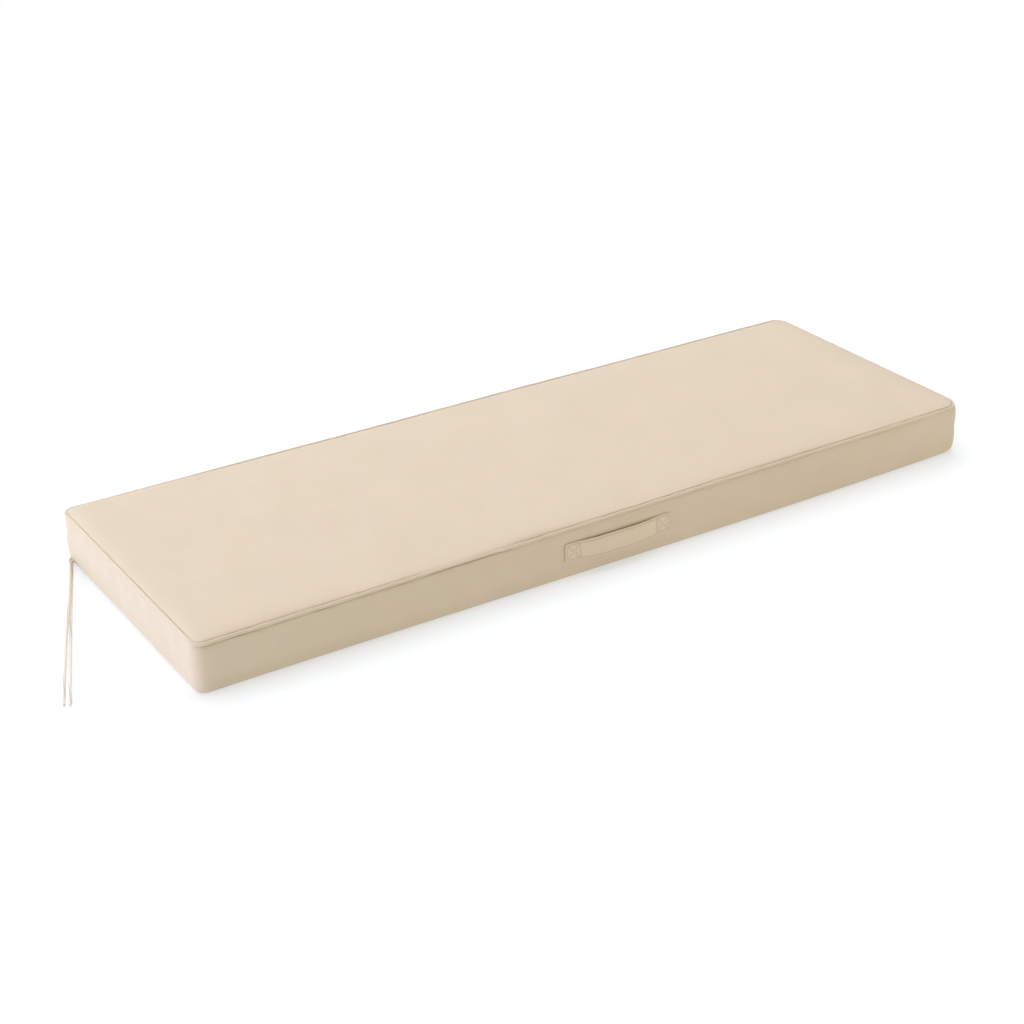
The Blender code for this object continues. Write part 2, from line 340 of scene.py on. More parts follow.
# a tube's faces and cloth, with both ends closed unless it goes round in a loop
def tubeSkin(run, girth, sides, closed=False):
    rows = len(run)
    faces, corners = gridFaces(rows, sides, loopRows=closed, loopCols=True)
    if closed:
        run = np.append(run, 2*run[-1] - run[-2])
    width = np.linspace(0, girth, sides + 1)
    grid = np.stack(np.broadcast_arrays(run[:, None], width[None, :]), -1).reshape(-1, 2)
    cloth = grid[corners[:, ::-1].ravel()]
    faces = faces[:, ::-1].tolist()
    if not closed:
        faces += [list(range(sides)), list(range((rows - 1)*sides, rows*sides))[::-1]]
        cloth = np.concatenate([cloth, np.zeros((2*sides, 2))])
    return faces, cloth


# the two tails leave the seam's foot at the back left corner and lie on the floor;
# both routes are the frame's own
tails = dict(
    width=4.4*mm,
    height=3.6*mm,
    sides=20,
    spacing=1.6*mm,
    sewnDepth=0.35*mm,      # the groove of the tail's own sewn edge
    sewnWidth=0.30,         # radians
    sewnTurns=2.2,          # of that edge along a tail
    lump=0.045,             # unevenness, as a share of the width
    lumpWaves=(9*mm, 60*mm),  # shortest and longest
    endLength=2.5*mm,
    rootLength=1.8*mm,      # this much of the rounded end is inside the seam
    tip=0.02,               # what is left of the section at its very end, squared
    rootShadeInset=12*mm,        # painted shade: the boxing is darker at its foot where the tails are sewn in
    rootShadeWidth=14*mm,
    rootShadeHeight=6*mm,
    pathStep=6,
    routes=dict(
        tie_right=[
            (-0.6869, 0.2141, 0.0024), (-0.6888, 0.2123, 0.0024), (-0.6904, 0.2097, 0.0024),
            (-0.6920, 0.2063, 0.0024), (-0.6946, 0.2000, 0.0024), (-0.6990, 0.1890, 0.0024),
            (-0.7070, 0.1695, 0.0024), (-0.7154, 0.1486, 0.0024), (-0.7238, 0.1281, 0.0024),
            (-0.7326, 0.1065, 0.0024), (-0.7430, 0.0810, 0.0024), (-0.7535, 0.0550, 0.0024),
            (-0.7640, 0.0292, 0.0024), (-0.7744, 0.0036, 0.0024), (-0.7844, -0.0210, 0.0024),
            (-0.7943, -0.0457, 0.0024), (-0.8039, -0.0696, 0.0024), (-0.8135, -0.0935, 0.0024),
            (-0.8228, -0.1168, 0.0024), (-0.8320, -0.1400, 0.0024), (-0.8364, -0.1512, 0.0024),
        ],
        tie_left=[
            (-0.6888, 0.2158, 0.0074), (-0.6910, 0.2137, 0.0073), (-0.6928, 0.2107, 0.0073),
            (-0.6944, 0.2067, 0.0073), (-0.6968, 0.1990, 0.0073), (-0.7010, 0.1880, 0.0072),
            (-0.7087, 0.1690, 0.0071), (-0.7176, 0.1475, 0.0070), (-0.7270, 0.1255, 0.0068),
            (-0.7368, 0.1030, 0.0066), (-0.7480, 0.0775, 0.0062), (-0.7590, 0.0530, 0.0053),
            (-0.7696, 0.0300, 0.0040), (-0.7797, 0.0070, 0.0028), (-0.7900, -0.0175, 0.0024),
            (-0.8002, -0.0420, 0.0024), (-0.8102, -0.0656, 0.0024), (-0.8201, -0.0890, 0.0024),
            (-0.8297, -0.1119, 0.0024), (-0.8391, -0.1349, 0.0024), (-0.8445, -0.1480, 0.0024),
        ],
    ),
)


# an oval section along the route, drawn in to a quarter circle at both ends;
# its one sewn edge winds slowly round it, its groove painted darker as shade
def makeTail(node, seed, values=tails):
    path, run = smoothRoute(values["routes"][node], values["spacing"])
    around = onceRound(values["sides"])
    far = run[:, None]
    nearEnd = np.minimum(np.minimum(far + values["rootLength"], run[-1] - far)/values["endLength"], 1)
    closing = np.sqrt(np.maximum(1 - (1 - nearEnd)**2, values["tip"]))
    edge = around - values["sewnTurns"]*2*pi*far/run[-1] - seed
    sewn = np.exp(-(np.angle(np.exp(1j*edge))/values["sewnWidth"])**2)
    lumps = values["lump"]*softNoise(far, around*values["width"], seed, *values["lumpWaves"])
    side = (values["width"]/2*(1 + lumps) - values["sewnDepth"]*sewn)*np.cos(around)*closing
    rise = (values["height"]/2*(1 + lumps) - values["sewnDepth"]*sewn)*np.sin(around)*closing
    faces, cloth = tubeSkin(run, pi*values["width"], values["sides"])
    item = makePiece(node + "_tail", carried(path, side, rise), faces, cloth, sewn + 0*side,
                     materials["tail"], node)


for seed, node in enumerate(tails["routes"]):
    makeTail(node, seed + 1)
print("tails laid")

# the cover's outline and heights are the frame's own formulas, a little fuller below the piping;
# x and y are measured from the cushion's middle
cover = dict(
    length=1372*mm,         # between the seam lines of the two ends
    depth=457*mm,
    shiftY=6.93*mm,
    corners=dict(           # height of the piping's middle, radius of the seam line
        frontLeft=(77.0*mm, 15.0*mm),
        frontRight=(81.5*mm, 28.0*mm),
        backLeft=(77.5*mm, 16.0*mm),
        backRight=(80.0*mm, 21.0*mm),
    ),
    seamRipple=0.5*mm,
    rollWidth=8*mm,         # the top panel rolls down to its seam over this width
    rollRise=3.4*mm,
    crown=1.0*mm,           # and the settled cloth adds its own lift
    dimples=((0.5*mm, 2.6, 0.9, 0.4), (0.4*mm, 4.3, 1.6, 2.1), (0.3*mm, 7.1, 0.7, 4.4)),
    hollows=(               # slack places of the panel: middle x, y, depth, half length, half width
        (0.045, -0.222, 0.9*mm, 0.060, 0.014),
        (0.455, -0.220, 1.5*mm, 0.070, 0.016),
        (0.350, 0.130, 1.1*mm, 0.120, 0.070),
        (0.610, -0.160, 1.3*mm, 0.050, 0.045),
        (-0.480, -0.221, 0.5*mm, 0.050, 0.012),
    ),
    boxing=(                # share of the seam's height, distance outside the seam line, corner filling
        (1.000, 1.2*mm, 0.45), (0.940, 1.9*mm, 0.65), (0.870, 2.4*mm, 0.85), (0.750, 2.7*mm, 1.00),
        (0.600, 2.8*mm, 1.00), (0.420, 2.7*mm, 1.00), (0.250, 2.2*mm, 1.00), (0.120, 1.3*mm, 1.00),
        (0.055, 0.3*mm, 0.90), (0.018, -1.4*mm, 0.60), (0.000, -3.4*mm, 0.30),
    ),
    boxingCorner=17*mm,
    belly=5.0*mm,           # the front boxing's foot pushes out between the corners
    bellyLean=1.2,
    spacing=4.6*mm,         # of the grid, along and across
    bandInset=6.0*mm,       # the grid of the top panel ends here, and rings of it go on to the seam
    bandRings=4,
    boxingRows=26,
    footSeam=2.4*mm,        # height of the seam between boxing and sole
    footSeamWidth=0.8*mm,
    footSeamDepth=0.55*mm,
    # painted shade in the foot seam's groove
    footSeamShade=0.35,
    footShade=0.14,         # painted shade: the cloth is darker towards its foot, by the floor
    footShadeHeight=16*mm,
    gathers=dict(           # size, reach from their seam, width of their start at it, noise
        top=(0.15*mm, 14*mm, 4*mm, (35, 16*mm, 60*mm)),
        lip=(0.22*mm, 14*mm, 2*mm, (31, 13*mm, 50*mm)),
        foot=(0.22*mm, 9*mm, 3*mm, (32, 16*mm, 60*mm)),
    ),
    slackTop=0.40*mm,
    slackTopWaves=(5, 70*mm, 240*mm),       # a noise's seed, its shortest and its longest wave
    slackSide=0.80*mm,
    slackSideWaves=(33, 45*mm, 190*mm),
    slackSlant=1.3,         # its waves follow one another this much faster on the ends
)
piping = dict(
    radius=2.7*mm,
    proud=0.4*mm,           # its middle lies this far outside the seam line
    sides=16,
    lumps=0.10*mm,          # of the cord in its cloth
    lumpWaves=(41, 8*mm, 50*mm),
    pinch=1.1*mm,           # thinner where the panel hangs over it
)
lips = dict(                # the two panels' edges where they roll into the seam, beside the piping
    rise=2.77*mm,           # the top panel's height over the piping's middle, before its roll
    upperRadius=1.8*mm,
    upperMiddle=1.2*mm,
    upperReach=-2.0*mm,
    upperArc=62,            # degrees
    upperShades=(0.15, 0.3, 0.5, 0.7, 0.9),    # painted shade of its arc's rings, darker deeper in the seam
    bandShade=0.10,        # painted shade of the panel beside it
    blend=4.0*mm,
    overhang=3.9*mm,        # where the panel hangs over the piping
    overhangDrop=1.6*mm,
    overhangPress=0.5*mm,   # and the boxing is pressed up against it
    overhangMiddle=-0.268,  # along the front
    overhangHalf=0.068,
    crevice=((-0.3*mm, 0.9*mm), (-0.6*mm, -0.4*mm)),    # past upperReach, and over the piping's middle
    creviceFoot=(-2.5*mm, -0.4*mm),     # outside the seam line, and over the lower lip
    lowerRadius=1.6*mm,
    lowerRise=-2.0*mm,
    lowerArc=115,
    lowerRings=8,
    lowerShade=0.1,        # painted shade at the last of them
    slack=0.3*mm,           # the boxing's lip lies this much further in along the front's left half
    slackEnds=(-0.48, -0.10),  # and less and less so between these
    slackBlend=5.0*mm,
)
halfLength = cover["length"]/2
halfDepth = cover["depth"]/2


# a value given at the four corners, and in a straight line between them
def betweenCorners(x, y, index, four=cover["corners"]):
    right = np.clip((x/halfLength + 1)/2, 0, 1)
    back = np.clip((y/halfDepth + 1)/2, 0, 1)
    front = (1 - right)*four["frontLeft"][index] + right*four["frontRight"][index]
    rear = (1 - right)*four["backLeft"][index] + right*four["backRight"][index]
    return (1 - back)*front + back*rear


# radius of the seam line at the corner nearest to each point
def cornerRadius(x, y, four=cover["corners"]):
    front = np.where(x > 0, four["frontRight"][1], four["frontLeft"][1])
    return np.where(y > 0, np.where(x > 0, four["backRight"][1], four["backLeft"][1]), front)


# moves a corner's square into a quarter disc, on the outline that lies inset inside the seam line: each
# part times the root of 1 less half the other's square, in radii; also gives the direction out
def roundCorner(x, y, inset):
    radius = cornerRadius(x, y)
    flat = np.stack([x, y])
    straight = np.array([[halfLength], [halfDepth]]) - radius
    past = np.maximum(abs(flat) - straight, 0)
    new = (abs(flat) - past + past*np.sqrt(1 - (past[::-1]/(radius - inset))**2/2))*np.sign(flat)
    out = np.maximum(abs(new) - straight, 0)*np.sign(flat)
    return *new, *(out/np.maximum(np.hypot(*out), 1e-9))


# height of the piping's middle: between the corners' heights, with a slight ripple
def seamHeight(x, y, values=cover):
    return betweenCorners(x, y, 0) + values["seamRipple"]*np.sin(9*x + 2*y)*np.cos(4*x)


# gathers beside a seam: soft noise that starts at the seam and fades with the distance from it
def gathered(name, x, y, away, values=cover):
    size, reach, start, waves = values["gathers"][name]
    return np.exp(-away/reach)*(1 - np.exp(-away/start))*size*softNoise(x, y, *waves)


# the top panel over its own seam: an exponential roll along the edge, a slight crown, slack waves, hollows
# and gathers
def panelRise(x, y, values=cover):
    roll = 1 - np.exp((abs(x) - halfLength)/values["rollWidth"])
    roll = roll*(1 - np.exp((abs(y) - halfDepth)/values["rollWidth"]))
    crown = (1 - (x/halfLength)**4)*(1 - (y/halfDepth)**2)
    slack = sum(size*np.sin(along*pi*x/halfLength + start)*np.cos(across*pi*y/halfDepth + start)
                for size, along, across, start in values["dimples"])
    slack += values["slackTop"]*softNoise(x, y, *values["slackTopWaves"])
    hollow = sum(depth*np.exp(-((x - middleX)/long)**2 - ((y - middleY)/wide)**2)
                 for middleX, middleY, depth, long, wide in values["hollows"])
    fromEdge = np.maximum(np.minimum(halfLength - abs(x), halfDepth - abs(y)), 0)
    panel = roll*(values["rollRise"] + slack - hollow) + values["crown"]*crown
    return panel + gathered("top", x, y, fromEdge)


# a smooth curve through a table's rows, which run downwards (cubic pieces with shared slopes)
def throughRows(rows, column, at):
    rows = np.array(rows)[::-1]
    places, heights = rows[:, 0], rows[:, column]
    slopes = np.gradient(heights, places)
    index = np.clip(np.searchsorted(places, at, side="right") - 1, 0, len(places) - 2)
    width = places[index + 1] - places[index]
    t = np.clip((at - places[index])/width, 0, 1)
    begin = (2*t**3 - 3*t**2 + 1)*heights[index] + (t**3 - 2*t**2 + t)*width*slopes[index]
    end = (3*t**2 - 2*t**3)*heights[index + 1] + (t**3 - t**2)*width*slopes[index + 1]
    return begin + end


# how far the boxing lies outside the seam line at a share of the seam's height:
# its bow, the filling of a wide corner, and the front's belly, which grows towards the foot
def boxingReach(share, x, y, outX, outY, values=cover):
    swell = throughRows(values["boxing"], 1, share)
    filling = throughRows(values["boxing"], 2, share)
    loose = np.maximum(cornerRadius(x, y) - values["boxingCorner"], 0)*(sqrt(2) - 1)
    along = np.clip(x/halfLength, -1, 1)
    belly = values["belly"]*(1 - along**2)*(1 + values["bellyLean"]*along)
    return swell + filling*loose*(2*outX*outY)**2 + np.maximum(-outY, 0)*(1 - share)*belly


# the panel's grid, and its rim once round, counter-clockwise from the front left corner, with the seam
# line beside each rim point: its place, direction out and height, and the run along it
def coverForm(spacing, values=cover):
    inset = values["bandInset"]
    along = np.linspace(-1, 1, round(values["length"]/spacing) + 1)*(halfLength - inset)
    across = np.linspace(-1, 1, round(values["depth"]/spacing) + 1)*(halfDepth - inset)
    flatX, flatY = (part.ravel() for part in np.meshgrid(along, across, indexing="ij"))
    x, y, _, _ = roundCorner(flatX, flatY, inset)
    index = np.arange(len(flatX)).reshape(len(along), len(across))
    rim = np.concatenate([index[:-1, 0], index[-1, :-1], index[:0:-1, -1], index[0, :0:-1]])
    rimX, rimY, outX, outY = roundCorner(flatX[rim], flatY[rim], inset)
    seamX, seamY = rimX + outX*inset, rimY + outY*inset
    radius = cornerRadius(seamX, seamY)
    run = runAlong(np.stack([seamX, seamY], -1))
    return dict(shape=index.shape, flatX=flatX, flatY=flatY, x=x, y=y, rim=rim, seamX=seamX, seamY=seamY,
                outX=outX, outY=outY, radius=radius, middleX=np.sign(seamX)*(halfLength - radius),
                middleY=np.sign(seamY)*(halfDepth - radius), run=run, height=seamHeight(seamX, seamY))


# the panel's height over the seam at a distance inside it, beside each rim point
def bandHeight(form, distance, values=cover):
    grow = (form["radius"] - distance)/(form["radius"] - values["bandInset"])
    flat = []
    for axis in "XY":
        edge, middle = form["flat" + axis][form["rim"]], form["middle" + axis]
        flat.append(np.where(abs(edge) > abs(middle), middle + (edge - middle)*grow, edge))
    return form["height"] + lips["rise"] + panelRise(*flat)


# the top panel's height at each point of its grid
def panelTop(form):
    return seamHeight(form["x"], form["y"]) + lips["rise"] + panelRise(form["flatX"], form["flatY"])


# points so far out from the seam line, at this height
def besideSeam(form, reach, height):
    x = form["seamX"] + form["outX"]*reach
    y = form["seamY"] + form["outY"]*reach + cover["shiftY"]
    return np.stack(np.broadcast_arrays(x, y, height), -1)


# one skin of the panel's grid, rings down from its rim and a flat sole: its points, rounds of point numbers
# from rim to sole, faces, and the corners' places in a cloth grid over the rounds
def joinRings(form, heights, rings):
    top = np.stack([form["x"], form["y"] + cover["shiftY"], heights], -1)
    points = np.concatenate([top, *(besideSeam(form, out, z) for out, z, *_ in rings)])
    count = len(form["rim"])
    loops = np.concatenate([form["rim"], np.arange(len(top), len(points))]).reshape(-1, count)
    panel, _ = gridFaces(*form["shape"])
    sides, corners = gridFaces(len(loops), count, loopCols=True)
    faces = panel[:, ::-1].tolist() + loops.ravel()[sides[:, ::-1]].tolist() + [loops[-1][::-1].tolist()]
    return points, loops, faces, corners[:, ::-1]


settling = dict(
    spacing=13*mm,          # of the coarse skin that the cloth is settled on
    shares=(0.86, 0.74, 0.60, 0.46, 0.32, 0.19, 0.09),      # its rows down the boxing, by the seam's height
    held=0.95,              # the cloth is held at this share of it, and at the foot
    frames=20,
    cloth=dict(             # shrink_min is below zero: it is cut a little larger than its filling
        vertex_group_mass="held",
        use_pressure=True,
        uniform_pressure_force=0.02,
        shrink_min=-0.0001,
        mass=0.3,
        tension_stiffness=15,
        compression_stiffness=15,
        bending_stiffness=0.4,
    ),
    liftMost=2.3*mm,        # a point of the top panel moves no further than about this
    bowMost=1.0*mm,         # and one of the boxing no further than this
    bowTuck=0.1*mm,         # the boxing starts this much further in
)


# the cover as a coarse closed skin, held at the piping and at the foot and blown up by Blender's cloth;
# gives how far each point of the panel's grid rose and each point of the boxing's rows moved out
def settleCover(values=settling):
    form = coverForm(values["spacing"])
    edges = (form["seamX"], form["seamY"], form["outX"], form["outY"])
    rings = [(lips["upperReach"], form["height"])]
    rings += [(boxingReach(share, *edges), share*form["height"]) for share in (*values["shares"], 0)]
    points, loops, faces, _ = joinRings(form, panelTop(form), rings)
    mesh = bpy.data.meshes.new("settling")
    mesh.from_pydata(points.tolist(), [], faces)
    item = addObject("settling", mesh)
    held = item.vertex_groups.new(name="held")
    held.add(loops[1].tolist() + loops[-1].tolist(), 1.0, "REPLACE")
    cloth = item.modifiers.new("cloth", "CLOTH")
    cloth.point_cache.frame_end = values["frames"]
    for name, value in values["cloth"].items():
        setattr(cloth.settings, name, value)
    cloth.settings.effector_weights.gravity = 0
    for step in range(1, values["frames"] + 1):
        bpy.context.scene.frame_set(step)
    settled = item.evaluated_get(bpy.context.evaluated_depsgraph_get()).data
    after = np.empty(len(points)*3, np.float32)
    settled.vertices.foreach_get("co", after)
    moved = after.reshape(-1, 3) - points
    bpy.context.scene.frame_set(1)
    bpy.data.objects.remove(item)
    lift = moved[:len(form["x"]), 2].reshape(form["shape"])
    sideways = moved[loops[2:-1]]
    bow = sideways[..., 0]*form["outX"] + sideways[..., 1]*form["outY"]
    return form, lift, bow


# weights of a smooth curve's knots (cubic B-spline) at each place among them;
# past the ends they lean on the last
def splineWeights(places, knots, closed=False):
    gap = abs(places[:, None] - np.arange(-2, knots + 2)[None, :])
    bell = np.where(gap < 1, (4 - 6*gap**2 + 3*gap**3)/6, np.maximum(2 - gap, 0)**3/6)
    home = np.arange(-2, knots + 2)
    home = home % knots if closed else np.clip(home, 0, knots - 1)
    weights = np.zeros((len(places), knots))
    np.add.at(weights.T, home, bell.T)
    return weights


# a move flattened towards its most, by a hyperbolic tangent
def capped(move, most):
    return most*np.tanh(move/most)


# indices of the four corners in a rim that runs once round a grid
def rimCorners(shape):
    long, short = shape[0] - 1, shape[1] - 1
    return np.cumsum([0, long, short, long, short])


# gives the settled cloth's moves at a finer form: over its grid, and for any share of height round its rim
def settledMoves(form, values=settling):
    coarse, lift, bow = settleCover()
    alongRows, acrossRows = (splineWeights(np.linspace(0, few - 1, many), few)
                             for few, many in zip(coarse["shape"], form["shape"]))
    places = np.interp(np.arange(len(form["rim"])), rimCorners(form["shape"]), rimCorners(coarse["shape"]))
    roundRim = splineWeights(places, len(coarse["rim"]), closed=True)
    fine = capped(alongRows @ lift @ acrossRows.T, values["liftMost"])
    # one row more at either end, where the cloth is held
    bow = np.vstack([0*bow[:1], bow, 0*bow[:1]]) @ roundRim.T
    shares = np.array([values["held"], *values["shares"], 0.0])

    def bowAt(share):
        place = np.interp(share, shares[::-1], np.arange(len(shares))[::-1])
        return capped(splineWeights(np.array([place]), len(shares))[0] @ bow, values["bowMost"])

    print("cloth settled: lift", [round(float(part)/mm, 2) for part in np.percentile(fine, (1, 50, 99))],
          "bow", [round(float(part)/mm, 2) for part in np.percentile(bow, (1, 50, 99))])
    return fine, bowAt


strap = dict(
    length=190*mm,
    width=29.2*mm,
    middleX=-10*mm,
    middleZ=42.7*mm,
    patch=27*mm,            # length of the sewn square at each end
    thickness=2.1*mm,
    endThickness=2.5*mm,    # the ends are folded under
    foldStep=0.8*mm,
    cornerRound=4.0*mm,
    bowLow=7.0*mm,          # the free middle's lower edge stands off the boxing by this much more
    bowHigh=3.0*mm,         # and its upper edge by this much
    bowPower=3.2,           # the bow is fuller than an arc
    pull=5.5*mm,            # the bow starts this far inside each sewn square
    droop=1.9*mm,
    seat=-0.45*mm,          # the ends are sewn down into the filling
    buckle=0.25*mm,         # unevenness of the free middle
    buckleWaves=(51, 14*mm, 60*mm),
    spacing=0.9*mm,
    sides=72,
    flatness=(0.50, 0.40),  # powers that round the section's edges, over its width and its thickness
    tip=0.04,               # what is left of the thickness at an end, squared
    dent=0.8*mm,            # the boxing is pulled in beside each end
    dentWidth=4.0*mm,
    dentHeight=0.55,        # of the strap's width, up and down from its middle
    calm=0.9,               # the boxing has this much less slack behind the strap and a little past it
    calmWidth=25*mm,
    press=0.25*mm,          # and is pressed in by this much
)


# 1 where the panel hangs over the piping, 0 elsewhere: a flat-topped bell along the front
def overhanging(form):
    bell = np.exp(-((form["seamX"] - lips["overhangMiddle"])/lips["overhangHalf"])**4)
    return np.maximum(-form["outY"], 0)*bell


gaps = dict(                # from the cloth to the piping; below zero the cloth is pressed against it
    over=dict(              # of the panel; on each side a start, and steps of it along X: rise, from, to
        sides=dict(front=(-0.10*mm, (0.25*mm, -0.25, 0.0)), right=(-0.1*mm,),
                   back=(0.0, (2.0*mm, -0.60, -0.30)), left=(-0.5*mm,)),
        uneven=0.15*mm,
        waves=(21, 14*mm, 90*mm),
    ),
    under=dict(             # of the boxing
        sides=dict(front=(0.90*mm, (-0.75*mm, -0.48, -0.10), (-0.4*mm, 0.48, 0.58)),
                   right=(-0.9*mm,), left=(-0.5*mm,)),
        uneven=0.12*mm,
        waves=(22, 14*mm, 90*mm),
    ),
)


# the gap beside each rim point: its side's start and smooth steps, mixed in the corners, and soft noise
def seamGap(form, sides, uneven, waves):
    x, outX, outY = form["seamX"], form["outX"], form["outY"]
    facing = dict(front=-outY, right=outX, back=outY, left=-outX)
    gap = uneven*softNoise(x, form["seamY"], *waves)
    for side, (start, *steps) in sides.items():
        size = start + sum(rise*easeIn(x, low, high) for rise, low, high in steps)
        gap = gap + np.maximum(facing[side], 0)*size
    return gap


# rings round a lip's arc, whose outermost point has this reach and height: reach, height and painted shade of
# each
def lipArc(reach, middle, radius, turns, paintedShades):
    return [(reach - radius*(1 - cos(turn)), middle + radius*sin(turn), paintedShade)
            for turn, paintedShade in zip(turns, paintedShades)]


# rings from the grid's edge into the crevice behind the piping: the panel's own form, let down smoothly
# to its lip, the lip's arc, and the crevice; also how far the panel is let down at the grid's edge
def panelRings(form, lift, values=lips):
    gap = seamGap(form, **gaps["over"])
    puff = overhanging(form)
    reach = values["upperReach"] - gap*(1 - puff) + values["overhang"]*puff
    middle = form["height"] + values["upperMiddle"] - values["overhangDrop"]*puff
    arc = radians(values["upperArc"])
    start = -reach + values["upperRadius"]*(1 - cos(arc))
    drop = bandHeight(form, start) - middle - values["upperRadius"]*sin(arc)
    inset = cover["bandInset"]
    rimLift = lift.ravel()[form["rim"]]
    rings = []
    for part in np.linspace(1, 0, cover["bandRings"] + 1)[1:]:
        inside = start + part*(inset - start)
        lower = drop*np.exp(-(inside - start)/values["blend"])
        height = bandHeight(form, inside) - lower + part*rimLift
        rings.append((-inside, height, values["bandShade"]*(1 - part)))
    paintedShades = values["upperShades"]
    turns = np.linspace(arc, 0, len(paintedShades) + 1)[1:]
    rings += lipArc(reach, middle, values["upperRadius"], turns, paintedShades)
    # the crevice's rings are painted fully in shade
    for (further, height), follows in zip(values["crevice"], (1, 0)):
        rings.append((values["upperReach"] + further - follows*gap, form["height"] + height, 1))
    return rings, drop*np.exp(-(inset - start)/values["blend"])


# rings from the crevice round the boxing's lip and down to its foot, closest at both ends: its own form with
# the settled cloth's bow, slack, gathers, the strap's dents and the seam at the foot, and painted shade in
# the seams, towards the foot and by the tails' roots
def boxingRings(form, bowAt, values=cover):
    x, y, height = form["seamX"], form["seamY"], form["height"]
    edges = (x, y, form["outX"], form["outY"])
    front = np.maximum(-form["outY"], 0)
    gap = seamGap(form, **gaps["under"]) - lips["overhangPress"]*overhanging(form)
    lipTop = height + lips["lowerRise"] - gap
    lipFoot = lipTop - lips["lowerRadius"]
    slack = lips["slack"]*front*(1 - easeIn(x, *lips["slackEnds"]))
    reach = boxingReach(lipFoot/height, *edges) - slack
    turns = np.radians(np.linspace(lips["lowerArc"], 0, lips["lowerRings"]))
    # painted shade along the boxing's lip, full in the crevice and fading outwards
    paintedShades = np.linspace(1, lips["lowerShade"], lips["lowerRings"])
    rings = [(lips["creviceFoot"][0], lipTop + lips["creviceFoot"][1], 1)]
    rings += lipArc(reach, lipFoot, lips["lowerRadius"], turns, paintedShades)
    half = strap["length"]/2
    fromStrap = abs(x - strap["middleX"])
    atStrap = front*(1 - easeIn(fromStrap, half, half + strap["calmWidth"]))
    dent = front*strap["dent"]*np.exp(-((fromStrap - half)/strap["dentWidth"] - 0.5)**2)
    fromTails = np.hypot(x + halfLength, y - halfDepth + tails["rootShadeInset"])
    for turn in pi*np.arange(1, values["boxingRows"] + 1)/values["boxingRows"]:
        z = lipFoot*(1 + cos(turn))/2
        share = z/height
        level = float(np.mean(share))
        out = boxingReach(share, *edges) - slack*np.exp(-(lipFoot - z)/lips["slackBlend"])
        loose = bowAt(level) - settling["bowTuck"]*sin(pi*min(level/settling["held"], 1))
        waves = softNoise(x + values["slackSlant"]*y, z, *values["slackSideWaves"])
        loose = loose + values["slackSide"]*waves*sin(pi*level)
        loose = loose + gathered("lip", x, y, lipFoot - z) + gathered("foot", x, y, z)
        out = out + loose*(1 - strap["calm"]*atStrap) - strap["press"]*atStrap
        out = out - dent*np.exp(-((z - strap["middleZ"])/(strap["dentHeight"]*strap["width"]))**4)
        footSeam = np.exp(-((z - values["footSeam"])/values["footSeamWidth"])**2)
        paintedFootShade = values["footShade"]*np.exp(-z/values["footShadeHeight"])
        rootShade = np.exp(-(fromTails/tails["rootShadeWidth"])**2 - (z/tails["rootShadeHeight"])**2)
        paintedShade = np.minimum(values["footSeamShade"]*footSeam + paintedFootShade + rootShade, 1)
        rings.append((out - values["footSeamDepth"]*footSeam, z, paintedShade))
    return rings


# places on the flat cloth: the panel, run on outwards into its lip, and the boxing as a band once round,
# which begins at the crevice's round
def coverCloth(form, points, loops, faces, corners, crevice):
    x, y, run = form["seamX"], form["seamY"], form["run"]
    count = len(run)
    rounds = points[loops]
    widths = np.linalg.norm(np.diff(rounds, axis=0), axis=2)
    down = np.vstack([np.zeros(count), np.cumsum(widths, 0)])
    onPanel = np.stack([rounds[0, :, 0] + form["outX"]*down, rounds[0, :, 1] + form["outY"]*down], -1)
    onPanel = np.concatenate([onPanel, onPanel[:, :1]], 1)
    along = np.append(run, run[-1] + hypot(x[-1] - x[0], y[-1] - y[0]))
    onBand = np.stack(np.broadcast_arrays(along, -np.hstack([down, down[:, :1]])), -1)
    banded = (np.arange(len(corners)) >= crevice*count)[:, None, None]
    sides = np.where(banded, onBand.reshape(-1, 2)[corners], onPanel.reshape(-1, 2)[corners])
    panel = np.ravel(faces[:-len(corners) - 1])
    return np.concatenate([points[panel, :2], sides.reshape(-1, 2), points[faces[-1], :2]])


# one closed skin: the panel's grid, its lip, the crevice behind the piping, the boxing and a flat sole;
# the panel's let-down at its lip goes on over the first lines of the grid
def makeCover(values=cover):
    form = coverForm(values["spacing"])
    lift, bowAt = settledMoves(form)
    upper, letDown = panelRings(form, lift)
    rings = upper + boxingRings(form, bowAt)
    fromEdge = np.minimum(halfLength - abs(form["flatX"]), halfDepth - abs(form["flatY"]))
    heights = panelTop(form) + lift.ravel() - nearRim(form, letDown, fromEdge - values["bandInset"])
    points, loops, faces, corners = joinRings(form, heights, rings)
    cloth = coverCloth(form, points, loops, faces, corners, len(upper))
    # the rings' painted shade; the panel's grid has none
    paintedShade = np.concatenate([0*heights, *(paintedShade + 0*form["height"] for _, _, paintedShade in rings)])
    item = makePiece("cover", points, faces, cloth, paintedShade, materials["cover"], "cushion")
    print("cover made:", len(points), "points")


# spreads values along a grid's rim over the lines beside it, fading exponentially with the distance
def nearRim(form, values, distance):
    shape = form["shape"]
    long, short = shape[0] - 1, shape[1] - 1
    a, b, c, _ = rimCorners(shape)[1:]
    ring = np.append(values, values[0])
    front, right, back, left = ring[:a + 1], ring[a:b + 1], ring[b:c + 1][::-1], ring[c:][::-1]
    down, over = np.ogrid[:long + 1, :short + 1]
    alongSide = np.where(over < short/2, front[:, None], back[:, None])
    alongEnd = np.where(down < long/2, left[None, :], right[None, :])
    atEnd = np.minimum(down, long - down) < np.minimum(over, short - over)
    nearest = np.where(atEnd, alongEnd, alongSide)
    return nearest.ravel()*np.exp(-np.maximum(distance, 0)/lips["blend"])


makeCover()


